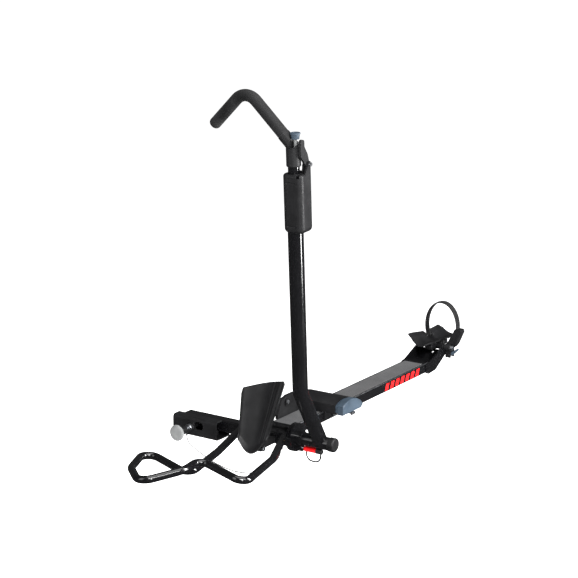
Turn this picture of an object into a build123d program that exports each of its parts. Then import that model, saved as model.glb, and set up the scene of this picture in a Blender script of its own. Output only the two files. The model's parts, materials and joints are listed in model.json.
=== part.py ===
from build123d import *
import os
from math import cos, pi, radians, sin, tan

# Hitch mounted bike rack for one bicycle, in millimetres.
# Origin: axis of the hitch shank where it meets the tray. +X runs along the tray to the
# rear wheel, +Y runs along the shank towards the car, +Z is up.

os.makedirs("parts", exist_ok=True)

# ---- driving dimensions -------------------------------------------------------------
SHANK = 31.75                 # square shank, 1.25 in
SHANK_WALL = 3.0
SHANK_NEAR_END = 20.0
SHANK_CAR_END = 350.0
SHANK_CORNER = 4.0

ADAPTER_HEIGHT = 50.8         # fills a 2 in receiver
ADAPTER_TOP = 17.0
ADAPTER_FACE = -43.0          # outer face of the adapter
ADAPTER_WALL = 4.0
ADAPTER_START, ADAPTER_END = 229.0, 366.0
ADAPTER_BOLTS = (262.0, 338.0)

PIN_Y, PIN_Z = 309.0, -9.0
PIN_DIAMETER = 12.7
PIN_CLEARANCE = 0.05
KNOB_RADIUS = 21.0
KNOB_FACE = -106.0

TRAY_Y = 74.0                 # wheel plane
TRAY_WIDTH = 72.0
TRAY_HEIGHT = 28.0
TRAY_TOP = 23.0
TRAY_START, TRAY_END = 30.0, 745.0
TRAY_WALL = 2.5
TRAY_CORNER = 5.0

PIVOT_Z = 8.0                 # axis of the mast's fold
PIVOT_BAR = 22.0
SLEEVE_OD = 33.4
SLEEVE_ID = 26.2
SLEEVE_END = -97.0
PLATE_RADIUS = 36.0
LOCK_RADIUS = 25.0            # lock pin's distance from the pivot axis
LOCK_PIN = 8.0
FOLD_BACK, FOLD_DOWN = 20.0, 80.0

MAST_Y = -62.0
MAST_OD = 38.1                # 1.5 in tube
MAST_ID = 34.1
MAST_BEND = (-92.0, 161.0)    # corner of the mast's centreline in X and Z
MAST_LEAN = 3.0
MAST_BEND_RADIUS = 48.0
MAST_LENGTH = 540.0           # from the bend's corner to the open top
SLIDER_OD = 28.0
SLIDER_FOOT = 130.0
SLIDER_TOP = 600.0

HOUSING_BOTTOM, HOUSING_TOP = 402.0, 545.0
HOUSING_SPLIT = 8.0
HEAD_BOTTOM, HEAD_TOP = 560.0, 604.0

HOOK_TUBE = 22.2
HOOK_SLEEVE = 29.0
HOOK_RADIUS = 40.0

LOOP_TUBE = 19.05             # 0.75 in tube

CABLE = 2.4

AXLE_X, AXLE_Z = 804.0, 48.0
AXLE = 10.0
STRAP_X = 816.0
STRAP_WIDTH = 20.0
STRAP_THICKNESS = 3.0


# ---- helpers ------------------------------------------------------------------------
def save(name, *shapes, colour=(0.1, 0.1, 0.1)):
    """Write one node, made of one or more separate solids, to parts/name.step."""
    solids = [s for shape in shapes for s in shape.solids()]
    node = solids[0] if len(solids) == 1 else Compound(children=solids)
    node.label = name
    node.color = Color(*colour)
    export_step(node, f"parts/{name}.step")


def block(x0, x1, y0, y1, z0, z1):
    return Pos((x0 + x1) / 2, (y0 + y1) / 2, (z0 + z1) / 2) * Box(x1 - x0, y1 - y0, z1 - z0)


def rod_y(radius, y0, y1, x=0.0, z=0.0):
    return Pos(x, (y0 + y1) / 2, z) * Rot(90, 0, 0) * Cylinder(radius, y1 - y0)


def rod_x(radius, x0, x1, y=0.0, z=0.0):
    return Pos((x0 + x1) / 2, y, z) * Rot(0, 90, 0) * Cylinder(radius, x1 - x0)


def rod_z(radius, z0, z1, x=0.0, y=0.0):
    return Pos(x, y, (z0 + z1) / 2) * Cylinder(radius, z1 - z0)


def profile_y(points, y0, y1):
    """Extrude a closed outline in X and Z from y0 to y1."""
    face = make_face(Polyline(*[(x, y0, z) for x, z in points], close=True))
    return extrude(face, amount=y1 - y0, dir=(0, 1, 0))


def tube_along(path, outer, inner):
    """Sweep a round tube along a path."""
    start = Plane(origin=path @ 0, z_dir=path % 0)
    wall = sweep(start * Circle(outer), path=path)
    return wall - sweep(start * Circle(inner), path=path) if inner else wall


def in_mast(shape):
    """Place a shape made in the mast's own frame: Z along the upper tube from the bend."""
    return Pos(MAST_BEND[0], MAST_Y, MAST_BEND[1]) * Rot(0, -MAST_LEAN, 0) * shape


def corner_radii(points, limit=0.45):
    """Largest tangent arc that each corner's two runs allow."""
    radii = []
    for a, b, c in zip(points, points[1:], points[2:]):
        before, after = Vector(*b) - Vector(*a), Vector(*c) - Vector(*b)
        shorter = min(before.length, after.length)
        radii.append(limit * shorter / tan(radians(before.get_angle(after) / 2)))
    return radii


BLACK = (0.02, 0.02, 0.022)
PLASTIC = (0.09, 0.09, 0.095)
STEEL = (0.55, 0.56, 0.58)
BLUE_GREY = (0.42, 0.47, 0.53)
LIGHT_GREY = (0.72, 0.72, 0.72)
RED = (0.75, 0.05, 0.04)
BRONZE = (0.55, 0.42, 0.25)


# ---- hitch shank, adapter and threaded pin -------------------------------------------
def make_hitch():
    half = SHANK / 2
    pin_hole = rod_x(PIN_DIAMETER / 2 + PIN_CLEARANCE, -60, 60, PIN_Y, PIN_Z)
    length = SHANK_CAR_END - SHANK_NEAR_END
    solid = Pos(0, (SHANK_CAR_END + SHANK_NEAR_END) / 2, 0) * Box(SHANK, length, SHANK)
    solid = fillet(solid.edges().filter_by(Axis.Y), SHANK_CORNER)
    inner = half - SHANK_WALL
    hollow = block(-inner, inner, SHANK_NEAR_END + 8, SHANK_CAR_END + 1, -inner, inner)
    shank = solid - hollow - pin_hole
    for y in ADAPTER_BOLTS:
        shank -= rod_z(4.0, -half - 1, -inner + 1, 0, y)
    save("hitch_shank", shank, colour=BLACK)

    bottom = ADAPTER_TOP - ADAPTER_HEIGHT
    outer = block(ADAPTER_FACE, half + 1, ADAPTER_START, ADAPTER_END, bottom, ADAPTER_TOP)
    near = outer.edges().filter_by(Axis.Y).group_by(Axis.X)[0]
    outer = fillet(near, 9.0)
    cavity = block(ADAPTER_FACE + ADAPTER_WALL, half + 2, ADAPTER_START - 1, ADAPTER_END + 1,
                   bottom + ADAPTER_WALL, ADAPTER_TOP - ADAPTER_WALL)
    cavity = fillet(cavity.edges().filter_by(Axis.Y).group_by(Axis.X)[0], 5.0)
    top_cut = block(-half - 0.3, half + 2, ADAPTER_START - 1, ADAPTER_END + 1, 0, ADAPTER_TOP + 1)
    adapter = outer - cavity - top_cut
    lip = block(half - 3, half + 1, ADAPTER_START, ADAPTER_END, bottom + ADAPTER_WALL, -half - 2)
    window = block(ADAPTER_FACE - 1, ADAPTER_FACE + ADAPTER_WALL + 1, 270, 298, -13, 8)
    window = fillet(window.edges().filter_by(Axis.X), 9.0)
    adapter = adapter + lip - pin_hole - window
    spacer_top, floor = -half, bottom + ADAPTER_WALL
    for y in ADAPTER_BOLTS:
        adapter += rod_z(9.0, floor, spacer_top, 0, y)
        adapter -= rod_z(4.0, bottom - 1, spacer_top + 1, 0, y)
    save("adapter_channel", adapter, colour=PLASTIC)

    bolts = []
    for y in ADAPTER_BOLTS:
        head = rod_z(7.0, bottom - 4.5, bottom, 0, y) - Pos(0, y, bottom - 4.5) * Box(7, 2.2, 3)
        bolts.append(head + rod_z(3.9, bottom, -inner + 1, 0, y) + rod_z(6.5, -inner, -inner + 5, 0, y))
    save("adapter_bolts", *bolts, colour=STEEL)

    radius = PIN_DIAMETER / 2
    screw = rod_x(radius, KNOB_FACE + 9, half + 6, PIN_Y, PIN_Z)
    screw = chamfer(screw.edges().group_by(Axis.X)[-1], 1.5)
    collar = rod_x(10, ADAPTER_FACE - 12, ADAPTER_FACE - 0.5, PIN_Y, PIN_Z)
    collar = chamfer(collar.edges().group_by(Axis.X)[0], 1.0)
    save("hitch_screw", screw + collar, colour=STEEL)
    knob = rod_x(KNOB_RADIUS, KNOB_FACE, KNOB_FACE + 9, PIN_Y, PIN_Z)
    knob = fillet(knob.edges().group_by(Axis.X)[0], 2.0)
    knob = fillet(knob.edges().group_by(Axis.X)[-1], 1.0)
    save("hitch_knob", knob, colour=LIGHT_GREY)
    neck = rod_x(11, KNOB_FACE + 9, KNOB_FACE + 38, PIN_Y, PIN_Z)
    neck -= rod_x(radius, KNOB_FACE, KNOB_FACE + 40, PIN_Y, PIN_Z)
    save("knob_neck", fillet(neck.edges().group_by(Axis.X)[-1][0], 2.0), colour=PLASTIC)


# ---- lanyard between the hitch screw and the frame ------------------------------------
LANYARD_X = -60.0
LANYARD_START = (LANYARD_X, PIN_Y, PIN_Z - 17)
LANYARD_END = (-12.0, 50.0, -27.0)
LANYARD_ROUTE = [
    LANYARD_START,
    (LANYARD_X, PIN_Y, -42),
    (-58, 286, -58),
    (-53, 246, -81),
    (-46, 200, -98),
    (-39, 153, -105),
    (-31, 107, -96),
    (-22, 71, -73),
    (-12, 50, -46),
    LANYARD_END,
]


def make_lanyard():
    radius = PIN_DIAMETER / 2
    ring = rod_x(radius + 3.2, LANYARD_X - 1.5, LANYARD_X + 1.5, PIN_Y, PIN_Z)
    lug = block(LANYARD_X - 1.5, LANYARD_X + 1.5, PIN_Y - 2.5, PIN_Y + 2.5, PIN_Z - 13, PIN_Z - 8)
    x, y, z = LANYARD_START
    crimp = rod_z(2.3, z, PIN_Z - 12.5, x, y)
    ring = ring + lug + crimp - rod_x(radius + 0.3, LANYARD_X - 3, LANYARD_X + 3, PIN_Y, PIN_Z)
    save("lanyard_ring", ring, colour=STEEL)

    radii = corner_radii(LANYARD_ROUTE)
    path = FilletPolyline(*LANYARD_ROUTE, radius=radii)
    cable = tube_along(path, CABLE / 2, 0)
    expected = pi * (CABLE / 2) ** 2 * path.length
    print("lanyard arc radii, mm:", [round(r, 1) for r in radii])
    print("lanyard length, mm:", round(path.length, 1), "volume ratio:", round(cable.volume / expected, 4))
    save("lanyard_cable", cable, colour=LIGHT_GREY)

    x, y, z = LANYARD_END
    anchor = block(x - 4, x + 4, y - 5, y + 5, z, -SHANK / 2)
    save("lanyard_anchor", fillet(anchor.edges().filter_by(Axis.Z), 1.5), colour=BLACK)


# ---- front wheel loop -----------------------------------------------------------------
LOOP_ROUTE = [
    (-SHANK / 2, 38, 8),
    (-170, -34, 8),
    (-345, -74, 8),
    (-316, 76, 28),
    (-390, 68, 25),
    (-484, 128, 12),
    (-417, 205, 12),
    (-300, 253, 12),
    (-350, 84, -1),
    (-181, 120, 2),
    (-SHANK / 2, 168, 6),
]
LOOP_RADII = [120, 22, 23, 60, 30, 60, 25, 24, 120]


def loop_tube(bore):
    return tube_along(FilletPolyline(*LOOP_ROUTE, radius=LOOP_RADII), LOOP_TUBE / 2, bore)


def make_loop():
    tube = loop_tube(LOOP_TUBE / 2 - 2)
    print("loop solids:", len(tube.solids()))
    face = block(-SHANK / 2, SHANK / 2, SHANK_NEAR_END - 20, SHANK_CAR_END, -30, 30)
    save("wheel_loop", tube - face, colour=BLACK)


# ---- wheel paddle (scoop) --------------------------------------------------------------
SCOOP_PIVOT = (-86.0, -6.0)
SCOOP_AXLE = 8.0
SCOOP_OUTLINE = [(32, 20), (8, 169), (131, 134), (115, 27), (105, 8), (88, -8), (62, -9), (42, 2)]


def scoop_section(z, x_mid, y_near, y_far, depth, thickness):
    """Curved section of the paddle, hollow side towards -X."""
    with BuildSketch(Plane(origin=(0, 0, z))) as section:
        with BuildLine():
            mid = (y_near + y_far) / 2
            ThreePointArc((x_mid - depth, y_near), (x_mid, mid), (x_mid - depth, y_far))
            Line((x_mid - depth, y_far), (x_mid - depth + thickness, y_far))
            ThreePointArc((x_mid - depth + thickness, y_far), (x_mid + thickness, mid),
                          (x_mid - depth + thickness, y_near))
            Line((x_mid - depth + thickness, y_near), (x_mid - depth, y_near))
        make_face()
    return section.sketch


def make_scoop():
    lower = scoop_section(-4, -104, 36, 112, 14, 5)
    upper = scoop_section(172, -38, 8, 136, 22, 5)
    shell = loft([lower.faces()[0], upper.faces()[0]])
    outline = make_face(Polyline(*[(0, y, z) for y, z in SCOOP_OUTLINE], close=True))
    corners = outline.vertices().sort_by(Axis.Z)
    outline = fillet(corners[-1:], 9.0)
    outline = fillet(outline.vertices().sort_by(Axis.Y)[-1:], 16.0)
    shell &= extrude(outline, amount=250, dir=(1, 0, 0), both=True)
    x, z = SCOOP_PIVOT
    ear = [(x - 12, z - 7), (x, z - 9), (x + 9, z - 6), (x + 11, z + 4), (x + 26, z + 44),
           (x + 14, z + 44), (x - 14, z + 10)]
    ears = profile_y(ear, 57, 63) + profile_y(ear, 85, 91)
    ears -= rod_y(SCOOP_AXLE / 2 + 0.05, 50, 100, x, z)
    scoop = shell + ears
    print("scoop solids:", len(scoop.solids()))
    save("wheel_scoop", scoop, colour=PLASTIC)

    arm = block(x + 4, -SHANK / 2, 64, 84, z - 7, z + 9) + rod_y(9, 64, 84, x, z)
    arm -= rod_y(SCOOP_AXLE / 2, 50, 100, x, z)
    for angle in range(100, 250, 18):
        arm -= rod_y(1.3, 60, 90, x + 9 * cos(radians(angle)), z + 9 * sin(radians(angle)))
    save("scoop_bracket", arm, colour=BLACK)
    axle = rod_y(SCOOP_AXLE / 2, 53, 95, x, z) + rod_y(7, 50, 56.6, x, z) + rod_y(7, 91.4, 98, x, z)
    axle -= Pos(x, 50, z) * Rot(90, 0, 0) * extrude(RegularPolygon(3, 6), amount=3, both=True)
    save("scoop_bolt", axle, colour=STEEL)


# ---- tray -------------------------------------------------------------------------------
COVER_X0, COVER_X1 = 165.0, 263.0
COVER_NEAR, COVER_FAR = 2.0, 118.0
COVER_LOW, COVER_TOP = 24.0, 59.5
LATCH_Z = 42.0
LATCH_TRAVEL = 8.0


def make_tray():
    y0, y1 = TRAY_Y - TRAY_WIDTH / 2, TRAY_Y + TRAY_WIDTH / 2
    z0 = TRAY_TOP - TRAY_HEIGHT
    outer = block(TRAY_START, TRAY_END, y0, y1, z0, TRAY_TOP)
    outer = fillet(outer.edges().filter_by(Axis.X), TRAY_CORNER)
    hollow = block(TRAY_START - 1, TRAY_END + 1, y0 + TRAY_WALL, y1 - TRAY_WALL,
                   z0 + TRAY_WALL, TRAY_TOP - TRAY_WALL)
    hollow = fillet(hollow.edges().filter_by(Axis.X), TRAY_CORNER - TRAY_WALL)
    save("tray_tube", outer - hollow, colour=BLACK)
    treads = []
    for x0, x1 in ((TRAY_START + 4, COVER_X0 - 2), (COVER_X1 + 2, 690)):
        tread = block(x0, x1, y0 + 5.5, y1 - 9, TRAY_TOP, TRAY_TOP + 1.0)
        treads.append(tread)
    save("tray_tread", *treads, colour=(0.35, 0.35, 0.36))
    plug = block(TRAY_END, TRAY_END + 3, y0 + 1, y1 - 1, z0 + 1, TRAY_TOP - 1)
    plug += block(TRAY_END - 12, TRAY_END, y0 + TRAY_WALL, y1 - TRAY_WALL,
                  z0 + TRAY_WALL + 0.5, TRAY_TOP - TRAY_WALL - 0.5)
    plug = plug - outer + (plug & hollow)
    save("tray_end_plug", plug, colour=PLASTIC)
    mount = block(SHANK / 2, TRAY_START, y0 + 2, y1 - 2, z0 + 1, TRAY_TOP - 1)
    mount = fillet(mount.edges().filter_by(Axis.X), TRAY_CORNER - 1)
    save("tray_mount", mount, colour=BLACK)


def cover_outline(grow=0.0):
    """D-shaped outline of the cross cover in X and Z: flat foot, round top, sloping end."""
    low, top = COVER_LOW - grow, COVER_TOP + grow
    x0, x1 = COVER_X0 - grow, COVER_X1 + grow
    shoulder_left, shoulder_right = (x0, top - 11), (x1 - 12, top - 14)
    with BuildSketch(Plane.XZ) as outline:
        with BuildLine():
            Polyline(shoulder_left, (x0, low), (x1 - 10, low), (x1, COVER_LOW + 9), shoulder_right)
            ThreePointArc(shoulder_right, ((x0 + x1) / 2 - 5, top), shoulder_left)
        make_face()
    return outline.sketch


def bar_y(sketch, y0, y1):
    """Extrude a sketch drawn on Plane.XZ from y0 to y1."""
    return Pos(0, y1, 0) * extrude(sketch, amount=y1 - y0)


def make_cover():
    y0, y1 = TRAY_Y - TRAY_WIDTH / 2, TRAY_Y + TRAY_WIDTH / 2
    middle = (COVER_X0 + COVER_X1) / 2
    bar = bar_y(cover_outline(), COVER_NEAR, COVER_FAR)
    for a, b in ((y0 - 4, y0 - 0.2), (y1 + 0.2, y1 + 4)):
        bar += block(COVER_X0 + 3, COVER_X1 - 12, a, b, 3, COVER_LOW)
    pocket = bar_y(cover_outline(-3.0), COVER_NEAR - 1, COVER_NEAR + 18)
    bar = bar - pocket - rod_y(5.1, COVER_NEAR, y0 - 3, middle, LATCH_Z)
    wall = profile_y([(52, TRAY_TOP), (COVER_X0, TRAY_TOP), (COVER_X0, 50), (156, 66), (128, 77),
                      (92, 77), (70, 70), (52, 34)], 102, 110)
    wall = fillet(wall.edges().filter_by(Axis.Y).group_by(Axis.Z)[-1], 6.0)
    boss = rod_y(10, 99, 102, 93, 60)
    cover = bar + wall + boss
    for x, z in ((93, 60), (150, 40)):
        cover -= rod_y(2.6, 90, 112, x, z)
    cover -= rod_y(6.2, 90, 101, 93, 60)
    print("cover solids:", len(cover.solids()))
    save("tray_cover", cover, colour=PLASTIC)

    screws = []
    for x, y, z in ((93, 101.0, 60), (150, 102.0, 40)):
        head = rod_y(5.5, y - 3.5, y, x, z) - block(x - 3, x + 3, y - 4, y - 2, z - 0.8, z + 0.8)
        screws.append(head + rod_y(2.5, y, 110, x, z))
    save("cover_screws", *screws, colour=STEEL)

    cap = bar_y(cover_outline(), COVER_NEAR - 26, COVER_NEAR - LATCH_TRAVEL - 1)
    cap = fillet(cap.edges().group_by(Axis.Y)[0], 3.0)
    cap += bar_y(cover_outline(-4.2), COVER_NEAR - LATCH_TRAVEL - 1, COVER_NEAR + 8)
    stem = rod_y(5.0, COVER_NEAR + 8, COVER_NEAR + 24, middle, LATCH_Z)
    save("latch_button", cap + stem, colour=BLUE_GREY)
    clip = block(204, 224, -22, 34, COVER_LOW - 4.5, COVER_LOW - 2)
    clip += block(204, 224, 31, 34, 3, COVER_LOW - 2)
    clip += block(204, 224, 4, 32, COVER_LOW - 2, COVER_LOW)
    clip += block(204, 224, -24.5, -22, COVER_LOW - 8, COVER_LOW - 2)
    save("latch_clip", clip, colour=STEEL)


# ---- mast pivot --------------------------------------------------------------------------
def lock_slot():
    """Arc slot that the lock pin travels in, as a cutter."""
    margin = 10.0             # room for the pin itself at each end
    first = -90 - FOLD_DOWN - margin
    last = -90 + FOLD_BACK + margin
    half = LOCK_PIN / 2 + 0.4
    with BuildSketch(Plane.XZ) as slot:
        with BuildLine():
            CenterArc((0, 0), LOCK_RADIUS + half, first, last - first)
            CenterArc((0, 0), LOCK_RADIUS - half, first, last - first)
            for angle in (first, last):
                c, s = cos(radians(angle)), sin(radians(angle))
                Line(((LOCK_RADIUS - half) * c, (LOCK_RADIUS - half) * s),
                     ((LOCK_RADIUS + half) * c, (LOCK_RADIUS + half) * s))
        make_face()
    return Pos(0, 40, PIVOT_Z) * extrude(slot.sketch, amount=80)


def make_pivot():
    bar = rod_y(PIVOT_BAR / 2, -90, 20, 0, PIVOT_Z) - rod_y(4.0, -91, -70, 0, PIVOT_Z)
    save("pivot_bar", bar, colour=STEEL)
    plate = rod_y(PLATE_RADIUS, 14, 20, 0, PIVOT_Z)
    plate = plate - rod_y(PIVOT_BAR / 2, 10, 25, 0, PIVOT_Z) - lock_slot() - loop_tube(0)
    save("index_plate", plate, colour=BLACK)
    washer = rod_y(18, 12.1, 14, 0, PIVOT_Z) - rod_y(PIVOT_BAR / 2, 10, 16, 0, PIVOT_Z)
    save("thrust_washer", washer, colour=BRONZE)
    screw = rod_y(9.5, -95, -92, 0, PIVOT_Z) + rod_y(12.0, -92, -90, 0, PIVOT_Z)
    save("pivot_screw", screw + rod_y(4.0, -90, -72, 0, PIVOT_Z), colour=STEEL)

    sleeve = rod_y(SLEEVE_OD / 2, SLEEVE_END, 6, 0, PIVOT_Z)
    for a, b in ((-37, -33), (-12, -9)):
        sleeve += rod_y(SLEEVE_OD / 2 + 1.3, a, b, 0, PIVOT_Z)
    sleeve -= rod_y(SLEEVE_ID / 2, SLEEVE_END - 1, 7, 0, PIVOT_Z)
    save("pivot_sleeve", sleeve, colour=BLACK)
    bushes = [rod_y(SLEEVE_ID / 2, a, b, 0, PIVOT_Z) - rod_y(PIVOT_BAR / 2 + 0.05, a - 1, b + 1, 0, PIVOT_Z)
              for a, b in ((-88, -66), (-20, 6))]
    save("pivot_bushes", *bushes, colour=BRONZE)
    disc = rod_y(PLATE_RADIUS, 6, 12, 0, PIVOT_Z) - rod_y(PIVOT_BAR / 2 + 0.3, 5, 13, 0, PIVOT_Z)
    disc -= rod_y(LOCK_PIN / 2 + 0.05, 0, 13, 0, PIVOT_Z - LOCK_RADIUS)
    save("sleeve_plate", disc, colour=BLACK)
    cap = rod_y(SLEEVE_OD / 2 + 1.5, SLEEVE_END - 9, SLEEVE_END + 7, 0, PIVOT_Z)
    cap = fillet(cap.edges().group_by(Axis.Y)[0], 4.0)
    cap -= rod_y(SLEEVE_OD / 2, SLEEVE_END, SLEEVE_END + 8, 0, PIVOT_Z)
    cap += rod_y(SLEEVE_ID / 2, SLEEVE_END, SLEEVE_END + 5, 0, PIVOT_Z)
    cap -= rod_y(SLEEVE_ID / 2 - 2.5, SLEEVE_END - 4, SLEEVE_END + 8, 0, PIVOT_Z)
    save("sleeve_cap", cap, colour=PLASTIC)

    z = PIVOT_Z - LOCK_RADIUS
    guide = block(-8, 8, -9, 6, z - 8, PIVOT_Z) - rod_y(SLEEVE_OD / 2, -20, 10, 0, PIVOT_Z)
    guide -= rod_y(LOCK_PIN / 2 + 0.05, -20, 10, 0, z)
    save("pin_guide", fillet(guide.edges().filter_by(Axis.Y).group_by(Axis.Z)[0], 5.0), colour=BLACK)
    pin = rod_y(LOCK_PIN / 2, -61, 19, 0, z)
    save("lock_pin", chamfer(pin.edges().group_by(Axis.Y)[-1], 1.0), colour=STEEL)
    grip = rod_y(6.5, -50, -15, 0, z) - rod_y(LOCK_PIN / 2, -55, 0, 0, z)
    save("pin_grip", grip, colour=RED)
    knob = rod_y(7.0, -67, -50, 0, z) - rod_y(LOCK_PIN / 2, -61, -45, 0, z)
    save("pin_head", fillet(knob.edges().group_by(Axis.Y)[0], 3.0), colour=(0.45, 0.46, 0.48))
    ring_route = [(0, -20, z - 4), (0, -21, z - 29), (0, -61, z - 29), (0, -62, z - 5)]
    ring_path = FilletPolyline(*ring_route, radius=16)
    ring = tube_along(ring_path, 2.0, 0) - rod_y(6.5, -50, -15, 0, z) - rod_y(7.0, -67, -50, 0, z)
    save("pull_ring", max(ring.solids(), key=lambda s: s.volume), colour=BLACK)


# ---- mast ---------------------------------------------------------------------------------
def make_mast():
    lean = radians(MAST_LEAN)
    top = (MAST_BEND[0] - MAST_LENGTH * sin(lean), MAST_Y, MAST_BEND[1] + MAST_LENGTH * cos(lean))
    foot = (0, MAST_Y, PIVOT_Z)
    path = FilletPolyline(foot, (MAST_BEND[0], MAST_Y, MAST_BEND[1]), top, radius=MAST_BEND_RADIUS)
    tube = tube_along(path, MAST_OD / 2, MAST_ID / 2)
    tube -= rod_y(SLEEVE_OD / 2, MAST_Y - 40, MAST_Y + 40, 0, PIVOT_Z)
    tube -= block(-60, 60, MAST_Y - 40, MAST_Y + 40, -80, PIVOT_Z)
    window = in_mast(block(0, 30, -4.5, 4.5, 474, 500))
    tube -= window
    save("mast_tube", max(tube.solids(), key=lambda s: s.volume), colour=BLACK)
    bush = rod_z(MAST_ID / 2, MAST_LENGTH - 30, MAST_LENGTH)
    bush += rod_z(MAST_OD / 2, MAST_LENGTH, MAST_LENGTH + 3)
    bush -= rod_z(SLIDER_OD / 2 + 0.05, MAST_LENGTH - 40, MAST_LENGTH + 10)
    save("guide_bush", in_mast(bush), colour=PLASTIC)


def housing_blank(grow=0.0):
    """Rounded outer shape of the clamshell."""
    x0, x1, y0, y1 = -23 - grow, 34 + grow, -32 - grow, 22.6 + grow
    body = block(x0, x1, y0, y1, HOUSING_BOTTOM - grow, HOUSING_TOP + grow)
    body = fillet(body.edges().filter_by(Axis.Z), 16.0 + grow)
    body = fillet(body.faces().group_by(Axis.Z)[0].edges(), 12.0 + grow)
    return fillet(body.faces().group_by(Axis.Z)[-1].edges(), 7.0 + grow)


LEVER_AXIS = (21.0, 564.0)    # release lever's pin in the mast's X and Z
PAWL_AXIS = (22.9, 512.0)
HOUSING_SCREWS = [(30.0, 509.0), (30.0, 467.0), (29.0, 424.0)]


def make_housing():
    blank = housing_blank()
    inside = housing_blank(-3.0)
    px, pz = LEVER_AXIS
    side = [(-2, 528), (34, 528), (34, 556), (31, 566), (px + 3, pz + 7), (px - 4, pz + 6), (8, 556),
            (0, 545)]
    tall = block(-23, 34, -32, 22.6, 500, 600)
    tall = fillet(tall.edges().filter_by(Axis.Z), 16.0)
    ears = (profile_y(side, -32, -27.5) + profile_y(side, -18.6, -15)) & tall
    shell = blank - inside + (ears - inside)
    shell -= rod_y(3.0, -40, 0, px, pz)
    shell -= rod_z(MAST_OD / 2, HOUSING_BOTTOM - 5, HOUSING_BOTTOM + 20)
    shell -= rod_z(MAST_OD / 2 + 0.3, HOUSING_TOP - 30, HOUSING_TOP + 40)
    collar = rod_z(MAST_OD / 2 + 3, HOUSING_BOTTOM + 3, HOUSING_BOTTOM + 12)
    collar -= rod_z(MAST_OD / 2, HOUSING_BOTTOM, HOUSING_BOTTOM + 20)
    shell += collar & housing_blank(-2.0)
    shell -= block(-40, 60, -26.4, -19.2, HOUSING_TOP - 9, HOUSING_TOP + 40)
    posts = Part()
    for x, z in HOUSING_SCREWS:
        posts += rod_y(3.9, -30, 20, x, z)
    shell += (posts & blank) - rod_z(MAST_OD / 2 + 0.4, 300, 600)
    for x, z in HOUSING_SCREWS:
        shell -= rod_y(1.2, -40, 18, x, z)
        shell -= rod_y(3.6, -45, -19.5, x, z)
    for z in (HOUSING_BOTTOM + 18, HOUSING_TOP - 21):
        shell -= rod_y(3.4, -16, 6, -24.8, z)
        shell -= Pos(-24.8, -16, z) * Sphere(3.4) + Pos(-24.8, 6, z) * Sphere(3.4)
    front = shell & block(-80, 80, -80, HOUSING_SPLIT, 300, 620)
    rear = shell & block(-80, 80, HOUSING_SPLIT, 80, 300, 620)
    front = max(front.solids(), key=lambda s: s.volume)
    rear = max(rear.solids(), key=lambda s: s.volume)
    save("housing_front", in_mast(front), colour=PLASTIC)
    save("housing_rear", in_mast(rear), colour=PLASTIC)
    screws = []
    for x, z in HOUSING_SCREWS:
        head = rod_y(3.2, -22, -19.5, x, z) - block(x - 2, x + 2, -23, -21, z - 0.5, z + 0.5)
        screws.append(in_mast(head))
    save("housing_screws", *screws, colour=STEEL)

    pawl_x, pawl_z = PAWL_AXIS
    pawl = profile_y([(15.2, 478), (19.5, 476), (24.4, 500), (25.6, 512), (24.8, 517), (20.8, 517),
                      (20.6, 500)], -4, 4)
    pawl -= rod_y(1.55, -10, 10, pawl_x, pawl_z)
    save("ratchet_pawl", in_mast(pawl), colour=STEEL)
    pawl_pin = rod_y(1.5, -40, 40, pawl_x, pawl_z) & housing_blank(-3.0)

    lever = profile_y([(px + 6, pz - 3), (px + 5, pz + 7), (px, pz + 24), (px - 9, pz + 38),
                       (px - 12.5, pz + 44), (px - 12.5, pz + 61), (px - 28, pz + 61), (px - 28, pz + 22),
                       (px - 16, pz + 8), (px - 7, pz - 4), (px - 1, pz - 7)], -26, -19.6)
    lever = fillet(lever.edges().filter_by(Axis.Y).group_by(Axis.Z)[-1], 6.5)
    lever -= rod_y(3.05, -40, 0, px, pz)
    save("release_lever", in_mast(lever), colour=PLASTIC)
    lever_pin = rod_y(3.0, -33.5, -14, px, pz) + rod_y(5, -35, -32, px, pz)
    save("housing_pins", in_mast(pawl_pin), in_mast(lever_pin), colour=STEEL)


# ---- telescoping slider, head and hook -----------------------------------------------------
HOOK_AXIS_Z = 608.2           # where the hook's axis crosses the mast's
HOOK_RISE = 44.3              # slope of the hook's first leg
HOOK_LEG = 179.8
HOOK_DROP = 44.1              # slope of its second leg
HOOK_TAIL = 134.0
BUTTON_Y = -6.5
BUTTON_BOTTOM, BUTTON_TOP = 626.0, 641.0
BUTTON_TRAVEL = 5.0


def hook_point(along, tail=0.0):
    """Point on the hook's centreline corners, in the mast's frame."""
    rise, drop = radians(HOOK_RISE), radians(HOOK_DROP)
    return (0, along * cos(rise) + tail * cos(drop), HOOK_AXIS_Z + along * sin(rise) - tail * sin(drop))


def hook_path(start, tail):
    return FilletPolyline(hook_point(start), hook_point(HOOK_LEG), hook_point(HOOK_LEG, tail),
                          radius=HOOK_RADIUS)


def make_slider():
    tube = rod_z(SLIDER_OD / 2, SLIDER_FOOT, SLIDER_TOP)
    tube -= rod_z(SLIDER_OD / 2 - 2, SLIDER_FOOT - 1, SLIDER_TOP + 1)
    for z in range(300, 480, 20):
        tube -= block(10, 20, -3, 3, z, z + 9)
    save("slider_tube", in_mast(tube), colour=BLACK)
    foot = rod_z(MAST_ID / 2 - 0.05, SLIDER_FOOT - 12, SLIDER_FOOT + 14)
    foot -= rod_z(SLIDER_OD / 2, SLIDER_FOOT, SLIDER_FOOT + 20)
    foot -= rod_z(SLIDER_OD / 2 - 4, SLIDER_FOOT - 20, SLIDER_FOOT + 1)
    save("slider_foot", in_mast(foot), colour=PLASTIC)


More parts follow.
